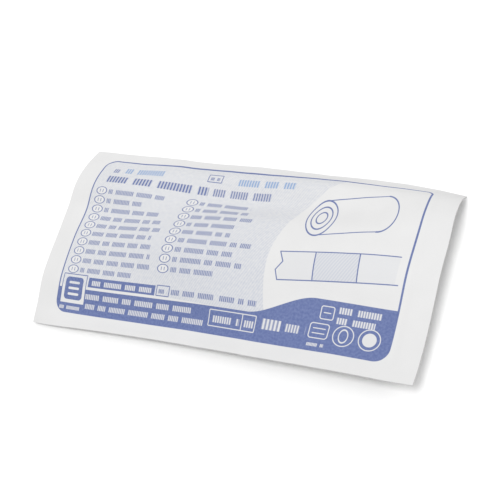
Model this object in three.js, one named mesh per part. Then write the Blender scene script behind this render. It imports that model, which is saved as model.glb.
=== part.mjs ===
import * as THREE from "three";

// A first aid dressing sealed in its flat sachet, which lies on its back sheet.
// Millimetres, +Z up, +X along the sachet, origin on the floor under the middle of its outline.

// The sachet laid flat
const SACHET_LENGTH = 165;
const SACHET_WIDTH = 85;
const END_SEAL = 9;
const SIDE_SEAL = 7;
const FRONT_WALL = 0.5;
const BACK_WALL = 0.5;
const SEAL_GAP = 0.3;

// The sachet as it lies: its highest crest, and how far the back sheet runs from belly to seal
const CREST_HEIGHT = 19.5;
const END_RISE = 26;
const SIDE_RISE = 11;

// The contents: a compress folded once, and the flattened roll of its bandage
const PAD_LENGTH = 80;
const PAD_WIDTH = 50;
const PAD_THICKNESS = 3;
const ROLL_LENGTH = 80;
const ROLL_WIDTH = 44;
const SEAT_GAP = 0.3;
const ROOF_CLEARANCE = 0.6;
const PAD_ROUNDNESS = 6;
const ROLL_ROUNDNESS = 2.4;
const EDGE_REACH = 0.97;

// Facets of the sheets and of the contents; the sheets' numbers are even, so that a node is in the middle
const SHEET_CELLS = { along: 36, across: 20 };
const CONTENT_CELLS = { along: 16, across: 12 };
const LEAST_PLAN_STEP = 0.1;

// Stations across the sachet, as shares of its width from the near edge
const STATIONS = {
  near: 0, seam: 0.09, slope: 0.25, ridge: 0.45, saddle: 0.62, dip: 0.76, shoulder: 0.88, far: 1,
};

// Sections along the sachet at shares of its length. Each height is a share of the way from the
// seal's own thickness, which lies on the floor, up to the crest.
const SECTIONS = [
  { at: 0, near: 0.02, seam: 0.18, slope: 0.48, ridge: 0.67, saddle: 0.82, dip: 1, shoulder: 0.96, far: 0.83 },
  { at: 0.16, near: 0.12, seam: 0.11, slope: 0.44, ridge: 0.7, saddle: 0.7, dip: 0.91, shoulder: 0.82, far: 0.71 },
  { at: 0.33, near: 0.18, seam: 0.13, slope: 0.43, ridge: 0.77, saddle: 0.72, dip: 0.66, shoulder: 0.72, far: 0.54 },
  { at: 0.5, near: 0.24, seam: 0.19, slope: 0.51, ridge: 0.8, saddle: 0.77, dip: 0.56, shoulder: 0.67, far: 0.5 },
  { at: 0.67, near: 0.34, seam: 0.27, slope: 0.47, ridge: 0.77, saddle: 0.75, dip: 0.58, shoulder: 0.63, far: 0.36 },
  { at: 0.84, near: 0.42, seam: 0.35, slope: 0.4, ridge: 0.68, saddle: 0.7, dip: 0.58, shoulder: 0.48, far: 0.2 },
  { at: 1, near: 0.5, seam: 0.43, slope: 0.44, ridge: 0.5, saddle: 0.48, dip: 0.58, shoulder: 0.38, far: 0 },
];

const PAPER = { color: 0xf1f1f0, roughness: 0.55, metalness: 0 };
const BACK_PAPER = { color: 0xf4f4f2, roughness: 0.6, metalness: 0 };
const GAUZE = { color: 0xf3efe6, roughness: 0.95, metalness: 0 };
const COMPRESS = { color: 0xfaf8f3, roughness: 1, metalness: 0 };

const SEAL_THICKNESS = FRONT_WALL + SEAL_GAP + BACK_WALL;

/** The value at x of a smooth curve through values at rising places. */
function curveThrough(places, values, x) {
  const last = places.length - 1;
  let k = 0;
  while (k < last - 1 && x > places[k + 1]) {
    k += 1;
  }
  const slopeAt = (i) => {
    const before = Math.max(i - 1, 0);
    const after = Math.min(i + 1, last);
    return (values[after] - values[before]) / (places[after] - places[before]);
  };
  const span = places[k + 1] - places[k];
  const u = (x - places[k]) / span;
  const ease = u * u * (3 - 2 * u);
  const leave = u * (1 - u) * (1 - u) * span * slopeAt(k);
  const arrive = u * u * (u - 1) * span * slopeAt(k + 1);
  return values[k] * (1 - ease) + values[k + 1] * ease + leave + arrive;
}

/** Height of the front sheet's outer face at shares of the length and width. */
function frontHeight(along, across) {
  const names = Object.keys(STATIONS);
  const stations = Object.values(STATIONS);
  const heights = SECTIONS.map((section) => {
    const values = names.map((name) => section[name]);
    return curveThrough(stations, values, across);
  });
  const places = SECTIONS.map((section) => section.at);
  return SEAL_THICKNESS + (CREST_HEIGHT - SEAL_THICKNESS) * curveThrough(places, heights, along);
}

/** A grid of values made by a function of the node's numbers. */
function gridOf(cells, make) {
  const rows = [];
  for (let i = 0; i <= cells.along; i += 1) {
    rows.push(Array.from({ length: cells.across + 1 }, (_, j) => make(i, j)));
  }
  return rows;
}

/** Plan lengths along a strip of paper that keeps its own length while it rises and falls. */
function planLengths(heights, step) {
  const middle = (heights.length - 1) / 2;
  const runs = heights.slice(1).map((height, k) => {
    const rise = height - heights[k];
    return Math.sqrt(Math.max(step * step - rise * rise, (step * LEAST_PLAN_STEP) ** 2));
  });
  const lengths = [0];
  runs.forEach((run, k) => lengths.push(lengths[k] + run));
  return lengths.map((length) => length - lengths[middle]);
}

/** Nodes of the front sheet's outer face, from the near left corner. */
function frontFace() {
  const { along, across } = SHEET_CELLS;
  const heights = gridOf(SHEET_CELLS, (i, j) => frontHeight(i / along, j / across));
  const xs = heights[0].map((_, j) => {
    const strip = heights.map((row) => row[j]);
    return planLengths(strip, SACHET_LENGTH / along);
  });
  const ys = heights.map((row) => planLengths(row, SACHET_WIDTH / across));
  return gridOf(SHEET_CELLS, (i, j) => new THREE.Vector3(xs[j][i], ys[i][j], heights[i][j]));
}

/** Upward normals at the nodes of a face. */
function normalsOf(face) {
  const lastRow = face.length - 1;
  const lastColumn = face[0].length - 1;
  return face.map((row, i) =>
    row.map((_, j) => {
      const after = face[Math.min(i + 1, lastRow)][j];
      const before = face[Math.max(i - 1, 0)][j];
      const beyond = row[Math.min(j + 1, lastColumn)];
      const nearer = row[Math.max(j - 1, 0)];
      const lengthwise = new THREE.Vector3().subVectors(after, before);
      const crosswise = new THREE.Vector3().subVectors(beyond, nearer);
      return lengthwise.cross(crosswise).normalize();
    }),
  );
}

/** A face moved along its own normals. */
function offsetFace(face, distance) {
  const normals = normalsOf(face);
  return face.map((row, i) => row.map((node, j) => node.clone().addScaledVector(normals[i][j], distance)));
}

/** Share of the way from a seal's inner line to the belly, at a distance from the sachet's rim. */
function awayFromSeal(fromRim, seal, rise) {
  return THREE.MathUtils.smoothstep(fromRim, seal, seal + rise);
}

/** Nodes of the back sheet's outer face: along the seal under the front sheet, and flat at the belly. */
function backFace(front) {
  const { along, across } = SHEET_CELLS;
  const sealed = offsetFace(front, -SEAL_THICKNESS);
  return gridOf(SHEET_CELLS, (i, j) => {
    const fromEnd = (Math.min(i, along - i) / along) * SACHET_LENGTH;
    const fromSide = (Math.min(j, across - j) / across) * SACHET_WIDTH;
    const endShare = awayFromSeal(fromEnd, END_SEAL, END_RISE);
    const sideShare = awayFromSeal(fromSide, SIDE_SEAL, SIDE_RISE);
    const belly = new THREE.Vector3(front[i][j].x, front[i][j].y, 0);
    return sealed[i][j].clone().lerp(belly, endShare * sideShare);
  });
}

/** A closed body between an upper and a lower grid of nodes. */
function bodyBetween(upper, lower) {
  const columns = upper[0].length;
  const nodes = [...upper.flat(), ...lower.flat()];
  const below = upper.length * columns;
  const index = [];
  const quad = (a, b, c, d) => index.push(a, b, c, a, c, d);
  const at = (i, j) => i * columns + j;
  const lastRow = upper.length - 1;
  const lastColumn = columns - 1;
  for (let i = 0; i < lastRow; i += 1) {
    for (let j = 0; j < lastColumn; j += 1) {
      quad(at(i, j), at(i + 1, j), at(i + 1, j + 1), at(i, j + 1));
      quad(below + at(i, j), below + at(i, j + 1), below + at(i + 1, j + 1), below + at(i + 1, j));
    }
  }
  const rim = [];
  for (let i = 0; i < lastRow; i += 1) rim.push(at(i, 0));
  for (let j = 0; j < lastColumn; j += 1) rim.push(at(lastRow, j));
  for (let i = lastRow; i > 0; i -= 1) rim.push(at(i, lastColumn));
  for (let j = lastColumn; j > 0; j -= 1) rim.push(at(0, j));
  rim.forEach((node, k) => {
    const next = rim[(k + 1) % rim.length];
    quad(node, below + node, below + next, next);
  });
  const geometry = new THREE.BufferGeometry();
  geometry.setFromPoints(nodes);
  geometry.setIndex(index);
  geometry.computeVertexNormals();
  return geometry;
}

/** The point of a sheet's face at flat lengths from the near left corner. */
function pointOn(face, alongFlat, acrossFlat) {
  const { along, across } = SHEET_CELLS;
  const row = THREE.MathUtils.clamp((alongFlat / SACHET_LENGTH) * along, 0, along);
  const column = THREE.MathUtils.clamp((acrossFlat / SACHET_WIDTH) * across, 0, across);
  const i = Math.min(Math.floor(row), along - 1);
  const j = Math.min(Math.floor(column), across - 1);
  const nearSide = face[i][j].clone().lerp(face[i + 1][j], row - i);
  const farSide = face[i][j + 1].clone().lerp(face[i + 1][j + 1], row - i);
  return nearSide.lerp(farSide, column - j);
}

/** Share of a body's thickness that is left at a place from its middle, -1 or 1 being its edge. */
function thicknessShare(place, roundness) {
  return (1 - (EDGE_REACH * Math.abs(place)) ** roundness) ** (1 / roundness);
}

/** A soft body between the sheets; its layer gives the lowest and highest height for a depth. */
function contentBody(size, layer, shareAt, backInner, frontInner) {
  const { along, across } = CONTENT_CELLS;
  const faces = { upper: [], lower: [] };
  const place = (i, j, side) => {
    const lengthwise = (2 * i) / along - 1;
    const crosswise = (2 * j) / across - 1;
    const alongFlat = (SACHET_LENGTH + lengthwise * size.length) / 2;
    const acrossFlat = (SACHET_WIDTH + crosswise * size.width) / 2;
    const floor = pointOn(backInner, alongFlat, acrossFlat);
    const roof = pointOn(frontInner, alongFlat, acrossFlat);
    const depth = floor.distanceTo(roof);
    const { low, high } = layer(depth);
    const half = ((high - low) / 2) * shareAt(lengthwise, crosswise);
    const height = (low + high) / 2 + side * half;
    return floor.lerp(roof, height / depth);
  };
  faces.upper = gridOf(CONTENT_CELLS, (i, j) => place(i, j, 1));
  faces.lower = gridOf(CONTENT_CELLS, (i, j) => place(i, j, -1));
  return bodyBetween(faces.upper, faces.lower);
}

/** The compress, folded flat on the back sheet. */
function woundPad(backInner, frontInner) {
  const size = { length: PAD_LENGTH, width: PAD_WIDTH };
  const layer = () => ({ low: SEAT_GAP, high: SEAT_GAP + PAD_THICKNESS });
  const share = (lengthwise, crosswise) =>
    thicknessShare(lengthwise, PAD_ROUNDNESS) * thicknessShare(crosswise, PAD_ROUNDNESS);
  return contentBody(size, layer, share, backInner, frontInner);
}

/** The bandage, rolled and pressed flat on the compress, right up to the front sheet. */
function bandageRoll(backInner, frontInner) {
  const size = { length: ROLL_LENGTH, width: ROLL_WIDTH };
  const layer = (depth) => ({ low: 2 * SEAT_GAP + PAD_THICKNESS, high: depth - ROOF_CLEARANCE });
  const share = (_, crosswise) => thicknessShare(crosswise, ROLL_ROUNDNESS);
  return contentBody(size, layer, share, backInner, frontInner);
}

/** A named mesh of one material. */
function piece(name, geometry, finish) {
  const mesh = new THREE.Mesh(geometry, new THREE.MeshStandardMaterial(finish));
  mesh.name = name;
  return mesh;
}

/** The whole sachet with its contents, its outline's middle over the origin. */
function dressing() {
  const frontOuter = frontFace();
  const frontInner = offsetFace(frontOuter, -FRONT_WALL);
  const backOuter = backFace(frontOuter);
  const backInner = offsetFace(backOuter, BACK_WALL);
  const group = new THREE.Group();
  group.add(piece("front_sheet", bodyBetween(frontOuter, frontInner), PAPER));
  group.add(piece("back_sheet", bodyBetween(backInner, backOuter), BACK_PAPER));
  group.add(piece("wound_pad", woundPad(backInner, frontInner), COMPRESS));
  group.add(piece("bandage_roll", bandageRoll(backInner, frontInner), GAUZE));
  const middle = new THREE.Box3().setFromObject(group).getCenter(new THREE.Vector3());
  group.position.set(-middle.x, -middle.y, 0);
  return group;
}

export default dressing();
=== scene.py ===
"""A first aid dressing sealed in its printed sachet: its meshes, finishes, floor, light and camera."""

import logging
import math
from abc import ABC, abstractmethod
from collections.abc import Callable, Iterable, Sequence
from dataclasses import dataclass, field
from enum import Enum
from functools import reduce
from itertools import chain
from typing import NamedTuple

import bpy
import numpy as np
from mathutils import Matrix, Vector


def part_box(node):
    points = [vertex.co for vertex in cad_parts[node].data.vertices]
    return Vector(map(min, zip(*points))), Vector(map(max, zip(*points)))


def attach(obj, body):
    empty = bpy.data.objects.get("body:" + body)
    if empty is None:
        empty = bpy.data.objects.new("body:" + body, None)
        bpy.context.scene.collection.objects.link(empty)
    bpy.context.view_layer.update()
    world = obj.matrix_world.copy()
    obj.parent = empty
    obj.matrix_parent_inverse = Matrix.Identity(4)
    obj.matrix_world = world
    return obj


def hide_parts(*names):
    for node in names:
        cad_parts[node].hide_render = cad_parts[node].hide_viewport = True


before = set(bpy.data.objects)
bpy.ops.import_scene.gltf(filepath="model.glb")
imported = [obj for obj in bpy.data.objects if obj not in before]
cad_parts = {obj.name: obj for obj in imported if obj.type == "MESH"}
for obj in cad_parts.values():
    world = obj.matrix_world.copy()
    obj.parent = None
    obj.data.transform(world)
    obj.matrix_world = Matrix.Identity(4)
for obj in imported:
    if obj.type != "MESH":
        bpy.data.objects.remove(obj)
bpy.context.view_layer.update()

LOG = logging.getLogger("dressing")
MM = 0.001
BODY = "root"
PRINT_UV = "Print"
BAKE_UV = "OFBake"
FINE_STEPS = 4000
ROW_ROOM = 0.4
BOX_ROOM = 0.5


# The form of the paper, in millimetres


class Section(NamedTuple):
    """Heights of the front sheet along one section across the sachet.

    Each height is a share of the way from the seal's own thickness up to the crest.
    """

    at: float
    near: float
    seam: float
    slope: float
    ridge: float
    saddle: float
    dip: float
    shoulder: float
    far: float


STATIONS = Section(at=0, near=0, seam=0.09, slope=0.25, ridge=0.45, saddle=0.62, dip=0.76, shoulder=0.88, far=1)

SECTIONS = (
    Section(at=0, near=0.02, seam=0.18, slope=0.48, ridge=0.67, saddle=0.82, dip=1, shoulder=0.96, far=0.83),
    Section(at=0.16, near=0.12, seam=0.11, slope=0.44, ridge=0.7, saddle=0.7, dip=0.91, shoulder=0.82, far=0.71),
    Section(at=0.33, near=0.18, seam=0.13, slope=0.43, ridge=0.77, saddle=0.72, dip=0.66, shoulder=0.72, far=0.54),
    Section(at=0.5, near=0.24, seam=0.19, slope=0.51, ridge=0.8, saddle=0.77, dip=0.56, shoulder=0.67, far=0.5),
    Section(at=0.67, near=0.34, seam=0.27, slope=0.47, ridge=0.77, saddle=0.75, dip=0.58, shoulder=0.63, far=0.36),
    Section(at=0.84, near=0.42, seam=0.35, slope=0.4, ridge=0.68, saddle=0.7, dip=0.58, shoulder=0.48, far=0.2),
    Section(at=1, near=0.5, seam=0.43, slope=0.44, ridge=0.5, saddle=0.48, dip=0.58, shoulder=0.38, far=0),
)


def curve_through(places: np.ndarray, values: np.ndarray, xs: np.ndarray) -> np.ndarray:
    """Read a smooth curve through values at rising places.

    Args:
        places: The places, rising.
        values: One value, or one row of values, for each place.
        xs: Where the curve is read.

    Returns:
        The values at xs, one row for each.
    """
    count = len(places)
    before = np.maximum(np.arange(count) - 1, 0)
    after = np.minimum(np.arange(count) + 1, count - 1)
    extra = (1,) * (values.ndim - 1)
    slopes = (values[after] - values[before]) / (places[after] - places[before]).reshape(-1, *extra)
    k = np.clip(np.searchsorted(places, xs, side="right") - 1, 0, count - 2)
    span = (places[k + 1] - places[k]).reshape(-1, *extra)
    u = ((xs - places[k]) / (places[k + 1] - places[k])).reshape(-1, *extra)
    ease = u * u * (3 - 2 * u)
    leave = u * (1 - u) ** 2 * span * slopes[k]
    arrive = u * u * (u - 1) * span * slopes[k + 1]
    return values[k] * (1 - ease) + values[k + 1] * ease + leave + arrive


def smooth_step(x: np.ndarray, start: float, end: float) -> np.ndarray:
    """Rise smoothly from 0 at start to 1 at end."""
    u = np.clip((x - start) / (end - start), 0, 1)
    return u * u * (3 - 2 * u)


def normals_of(face: np.ndarray) -> np.ndarray:
    """Give the upward unit normals at the nodes of a grid of points.

    Args:
        face: The grid's points.

    Returns:
        One normal for each point.
    """
    along = np.gradient(face, axis=0)
    across = np.gradient(face, axis=1)
    normals = np.cross(along, across)
    return normals / np.linalg.norm(normals, axis=-1, keepdims=True)


def raised(face: np.ndarray, height: np.ndarray | float) -> np.ndarray:
    """Move the nodes of a grid of points up along their normals."""
    return face + normals_of(face) * height


def soft_waves(s: np.ndarray, t: np.ndarray, seed: int, wavelengths: tuple[float, float],
               count: int) -> np.ndarray:
    """Add up shallow waves that run in many directions, as handled paper has.

    Args:
        s: Flat lengths along the sachet.
        t: Flat lengths across it.
        seed: Seed of the waves' directions and phases.
        wavelengths: Shortest and longest wavelength.
        count: How many waves are added.

    Returns:
        A relief between about -1 and 1.
    """
    random = np.random.default_rng(seed)
    total = np.zeros_like(s)
    for _ in range(count):
        heading = random.uniform(0, math.pi)
        wavelength = random.uniform(*wavelengths)
        phase = random.uniform(0, math.tau)
        distance = s * math.cos(heading) + t * math.sin(heading)
        total += np.sin(math.tau * distance / wavelength + phase)
    return total / math.sqrt(count)


def even_loop(roundness: float, half_width: float, half_height: float, count: int) -> np.ndarray:
    """Space points evenly round a flattened section.

    Args:
        roundness: 2 for an oval, more for a box with round corners.
        half_width: The section's half width.
        half_height: Its half height.
        count: How many points there are.

    Returns:
        One row for each point: its shares of the half width and of the half height.
    """
    turn = np.linspace(0, math.tau, FINE_STEPS + 1)
    circle = np.stack([np.cos(turn), np.sin(turn)], axis=-1)
    shares = np.sign(circle) * np.abs(circle) ** (2 / roundness)
    steps = np.linalg.norm(np.diff(shares * (half_width, half_height), axis=0), axis=1)
    reach = np.concatenate([[0], np.cumsum(steps)])
    places = np.linspace(0, reach[-1], count, endpoint=False)
    return np.stack([np.interp(places, reach, shares[:, k]) for k in (0, 1)], axis=-1)


@dataclass(frozen=True)
class Hollow:
    """The room between the two sheets, by the points under and over it, in millimetres."""

    floor: np.ndarray
    roof: np.ndarray
    flat_size: tuple[float, float]

    def at(self, s: np.ndarray, t: np.ndarray) -> tuple[np.ndarray, np.ndarray]:
        """Give the points of the floor and of the roof at flat lengths from the near left corner.

        Args:
            s: Flat lengths along.
            t: Flat lengths across.

        Returns:
            The points on the floor and the points on the roof.
        """
        rows, columns = self.floor.shape[:2]
        row = np.clip(s / self.flat_size[0], 0, 1) * (rows - 1)
        column = np.clip(t / self.flat_size[1], 0, 1) * (columns - 1)
        i = np.minimum(row.astype(int), rows - 2)
        j = np.minimum(column.astype(int), columns - 2)
        u, v = (row - i)[..., None], (column - j)[..., None]
        found = []
        for face in (self.floor, self.roof):
            near = face[i, j] * (1 - u) + face[i + 1, j] * u
            far = face[i, j + 1] * (1 - u) + face[i + 1, j + 1] * u
            found.append(near * (1 - v) + far * v)
        return found[0], found[1]


@dataclass(frozen=True)
class SachetForm:
    """Sizes of the sachet, laid flat and as it lies, in millimetres."""

    length: float = 165
    width: float = 85
    end_seal: float = 9
    side_seal: float = 7
    seal_thickness: float = 1.3
    crest_height: float = 19.5
    end_rise: float = 26
    side_rise: float = 11
    paper: float = 0.2
    wall: float = 0.5
    bond: float = 0.02
    cells_along: int = 220
    cells_across: int = 114
    handling: float = 0.05
    seam_groove: float = 0.1
    seam_groove_width: float = 0.9
    gather_height: float = 0.35
    gather_pitch: float = 8.5
    gather_wander: float = 1.6
    gather_focus: float = 1.5
    gather_slant: tuple[float, float] = (0.3, -0.25)

    def flat_grid(self) -> tuple[np.ndarray, np.ndarray]:
        """Lay the sachet's nodes out flat.

        Returns:
            The flat lengths along and across at every node.
        """
        s = np.linspace(0, self.length, self.cells_along + 1)
        t = np.linspace(0, self.width, self.cells_across + 1)
        return np.meshgrid(s, t, indexing="ij")

    def heights(self, s: np.ndarray, t: np.ndarray) -> np.ndarray:
        """Read the heights of the front sheet's outer face from its table of sections.

        Args:
            s: Flat lengths along.
            t: Flat lengths across.

        Returns:
            The height of every node.
        """
        table = np.array([row[1:] for row in SECTIONS])
        places = np.array([row.at for row in SECTIONS])
        by_section = curve_through(np.array(STATIONS[1:]), table.T, t[0] / self.width).T
        shares = curve_through(places, by_section, s[:, 0] / self.length)
        return self.seal_thickness + (self.crest_height - self.seal_thickness) * shares

    def rim_distance(self, s: np.ndarray, t: np.ndarray) -> tuple[np.ndarray, np.ndarray]:
        """Give the flat distances from the nearer end and from the nearer long edge."""
        return np.minimum(s, self.length - s), np.minimum(t, self.width - t)

    def belly_share(self, s: np.ndarray, t: np.ndarray) -> np.ndarray:
        """Say where the back sheet lies flat on the floor.

        Args:
            s: Flat lengths along.
            t: Flat lengths across.

        Returns:
            0 on the seal, 1 on the flat belly and a smooth change between.
        """
        from_end, from_side = self.rim_distance(s, t)
        ends = smooth_step(from_end, self.end_seal, self.end_seal + self.end_rise)
        sides = smooth_step(from_side, self.side_seal, self.side_seal + self.side_rise)
        return ends * sides

    def relief(self, s: np.ndarray, t: np.ndarray) -> np.ndarray:
        """Give the fine relief of handled paper and the shallow groove along the seal.

        Args:
            s: Flat lengths along.
            t: Flat lengths across.

        Returns:
            How far every node stands proud of the smooth face.
        """
        from_end, from_side = self.rim_distance(s, t)
        to_seam = np.minimum(from_end - self.end_seal, from_side - self.side_seal)
        groove = np.exp(-((to_seam / self.seam_groove_width) ** 2))
        waves = soft_waves(s, t, seed=11, wavelengths=(9, 30), count=14)
        return self.handling * waves - self.seam_groove * groove

    def front_face(self) -> np.ndarray:
        """Place the front sheet's outer face so that the paper keeps its own length both ways.

        Returns:
            Points in millimetres, in the frame of the CAD model.
        """
        s, t = self.flat_grid()
        z = self.heights(s, t)
        step_s = self.length / self.cells_along
        step_t = self.width / self.cells_across
        runs_s = np.sqrt(step_s**2 - np.diff(z, axis=0) ** 2)
        runs_t = np.sqrt(step_t**2 - np.diff(z, axis=1) ** 2)
        x = np.vstack([np.zeros((1, z.shape[1])), np.cumsum(runs_s, axis=0)])
        y = np.hstack([np.zeros((z.shape[0], 1)), np.cumsum(runs_t, axis=1)])
        x -= x[self.cells_along // 2]
        y -= y[:, self.cells_across // 2][:, None]
        face = np.stack([x, y, z], axis=-1)
        low, high = (np.array(corner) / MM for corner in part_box("front_sheet"))
        middle = (face.min(axis=(0, 1)) + face.max(axis=(0, 1))) / 2
        face[..., :2] += ((low + high) / 2 - middle)[:2]
        return raised(face, self.relief(s, t)[..., None])

    def back_face(self, front: np.ndarray) -> np.ndarray:
        """Place the back sheet's outer face: bonded along the seal, gathered down to the flat belly.

        Args:
            front: The front sheet's outer face.

        Returns:
            Points in millimetres.
        """
        s, t = self.flat_grid()
        sealed = raised(front, -(2 * self.paper + self.bond))
        belly = front.copy()
        belly[..., 2] = 0
        share = self.belly_share(s, t)[..., None]
        face = sealed * (1 - share) + belly * share
        lean = soft_waves(s, t, seed=4, wavelengths=(24, 50), count=6)
        by_end = self.rim_distance(s, t)[0] < self.end_seal + self.end_rise
        slant_end, slant_side = self.gather_slant
        around = np.where(by_end, t + slant_end * s, s + slant_side * t)
        gathers = np.sin(math.tau * around / self.gather_pitch + self.gather_wander * lean)
        slope = (4 * share * (1 - share))[..., 0] ** self.gather_focus
        face[..., 2] += self.gather_height * slope * (gathers + 1) / 2
        return face


# Meshes


def new_object(name: str, data: bpy.types.ID) -> bpy.types.Object:
    """Put a new object with its data into the scene.

    Args:
        name: Its name.
        data: Its mesh, lamp or camera.

    Returns:
        The object.
    """
    made = bpy.data.objects.new(name, data)
    bpy.context.scene.collection.objects.link(made)
    return made


@dataclass(frozen=True)
class Shell:
    """A thin closed sheet between an upper and a lower grid of points."""

    name: str
    upper: np.ndarray
    lower: np.ndarray
    flat_size: tuple[float, float]
    crisp_angle: float = math.radians(50)
    bake_along: tuple[float, float] = (0.004, 0.992)
    bake_upper: tuple[float, float] = (0.486, 0.51)
    bake_lower: tuple[float, float] = (0.004, 0.46)
    bake_rim: tuple[float, float] = (0.479, 0.471)

    def rim(self) -> list[tuple[int, int]]:
        """Go round the grid's border, counter-clockwise from above.

        Returns:
            The row and the column of each border node.
        """
        rows, columns = self.upper.shape[:2]
        near = [(i, 0) for i in range(rows - 1)]
        right = [(rows - 1, j) for j in range(columns - 1)]
        far = [(i, columns - 1) for i in range(rows - 1, 0, -1)]
        left = [(0, j) for j in range(columns - 1, 0, -1)]
        return near + right + far + left

    def faces(self) -> tuple[np.ndarray, np.ndarray, np.ndarray]:
        """Join the nodes into faces.

        Returns:
            The quads of the upper face, of the lower face and of the rim.
        """
        rows, columns = self.upper.shape[:2]
        node = np.arange(rows * columns).reshape(rows, columns)
        corners = (node[:-1, :-1], node[1:, :-1], node[1:, 1:], node[:-1, 1:])
        upper = np.stack(corners, axis=-1).reshape(-1, 4)
        lower = upper[:, ::-1] + node.size
        ring = np.array([node[place] for place in self.rim()])
        after = np.roll(ring, -1)
        rim = np.stack([ring, ring + node.size, after + node.size, after], axis=-1)
        return upper, lower, rim

    def build(self, materials: Sequence[bpy.types.Material]) -> bpy.types.Object:
        """Make the mesh object.

        Args:
            materials: The upper face's material, then the one of the lower face and the rim.

        Returns:
            The object, with a map of flat millimetres and a map for baking.
        """
        upper, lower, rim = self.faces()
        quads = np.vstack([upper, lower, rim])
        points = np.vstack([self.upper.reshape(-1, 3), self.lower.reshape(-1, 3)]) * MM
        mesh = bpy.data.meshes.new(self.name)
        mesh.from_pydata(points.tolist(), [], quads.tolist())
        mesh.update()
        for material in materials:
            mesh.materials.append(material)
        slots = np.zeros(len(quads), dtype=np.int32)
        slots[len(upper):] = len(materials) - 1
        mesh.polygons.foreach_set("material_index", slots)
        mesh.polygons.foreach_set("use_smooth", np.ones(len(quads), dtype=bool))
        mesh.set_sharp_from_angle(angle=self.crisp_angle)
        self.add_maps(mesh, quads, (len(upper), len(lower), len(rim)))
        return new_object(self.name, mesh)

    def add_maps(self, mesh: bpy.types.Mesh, quads: np.ndarray, counts: tuple[int, int, int]) -> None:
        """Add the map of flat millimetres, and the baking map with the rim between the two faces.

        Args:
            mesh: The mesh that gets the maps.
            quads: Its faces, in order.
            counts: How many of them are upper, lower and rim faces.
        """
        rows, columns = self.upper.shape[:2]
        s, t = np.meshgrid(np.linspace(0, 1, rows), np.linspace(0, 1, columns), indexing="ij")
        shares = np.tile(np.stack([s, t], axis=-1).reshape(-1, 2), (2, 1))
        loops = quads.reshape(-1)
        flat = shares[loops] * np.array(self.flat_size)
        bake = shares[loops].copy()
        upper_end = 4 * counts[0]
        lower_end = upper_end + 4 * counts[1]
        ring = np.arange(counts[2]) / counts[2]
        after = ring + 1 / counts[2]
        bake[lower_end:, 0] = np.stack([ring, ring, after, after], axis=-1).reshape(-1)
        top, bottom = self.bake_rim
        bake[lower_end:, 1] = np.tile([top, bottom, bottom, top], counts[2])
        for part, column, (start, extent) in (
            (slice(None), 0, self.bake_along),
            (slice(upper_end), 1, self.bake_upper),
            (slice(upper_end, lower_end), 1, self.bake_lower),
        ):
            bake[part, column] = start + extent * bake[part, column]
        for name, values in ((PRINT_UV, flat), (BAKE_UV, bake)):
            layer = mesh.uv_layers.new(name=name)
            layer.data.foreach_set("uv", values.astype(np.float32).reshape(-1))


@dataclass(frozen=True)
class Tube:
    """A closed soft body: rings of points from one end to the other, folded shut at both ends."""

    name: str
    rings: np.ndarray

    def cap(self, ring: np.ndarray) -> list[list[int]]:
        """Close an end by joining the upper and the lower half of its ring.

        Args:
            ring: The ring's nodes, counter-clockwise from outside.

        Returns:
            The faces, each as a list of nodes.
        """
        around = len(ring)
        middle = range(1, around // 2 - 1)
        quads = [[ring[k], ring[k + 1], ring[-k - 1], ring[-k]] for k in middle]
        first = [ring[0], ring[1], ring[-1]]
        last = [ring[around // 2 - 1], ring[around // 2], ring[around // 2 + 1]]
        return [first, *quads, last]

    def build(self, material: bpy.types.Material) -> bpy.types.Object:
        """Make the mesh object.

        Args:
            material: Its material.

        Returns:
            The object, with a map of flat millimetres.
        """
        count, around = self.rings.shape[:2]
        node = np.arange(count * around).reshape(count, around)
        after = np.roll(node, -1, axis=1)
        sides = np.stack([node[:-1], after[:-1], after[1:], node[1:]], axis=-1).reshape(-1, 4)
        ends = self.cap(node[0, ::-1]) + self.cap(node[-1])
        points = self.rings.reshape(-1, 3)
        mesh = bpy.data.meshes.new(self.name)
        mesh.from_pydata((points * MM).tolist(), [], sides.tolist() + ends)
        mesh.update()
        mesh.materials.append(material)
        mesh.polygons.foreach_set("use_smooth", np.ones(len(mesh.polygons), dtype=bool))
        steps_along = np.linalg.norm(np.diff(self.rings, axis=0), axis=-1).mean(axis=1)
        steps_around = np.linalg.norm(np.roll(self.rings, -1, axis=1) - self.rings, axis=-1).mean(axis=0)
        along = np.concatenate([[0], np.cumsum(steps_along)])
        across = np.concatenate([[0], np.cumsum(steps_around)])
        rows, columns = np.meshgrid(np.arange(count - 1), np.arange(around), indexing="ij")
        corners = ((rows, columns), (rows, columns + 1), (rows + 1, columns + 1), (rows + 1, columns))
        side_map = np.stack([np.stack([along[i], across[j]], axis=-1) for i, j in corners], axis=2)
        end_map = points[[index for face in ends for index in face]][:, 1:]
        layer = mesh.uv_layers.new(name=PRINT_UV)
        layer.data.foreach_set("uv", np.concatenate([side_map.reshape(-1), end_map.reshape(-1)]))
        return new_object(self.name, mesh)


# Wiring of shader nodes

Number = float | int
Colour = tuple[float, float, float]


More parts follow.
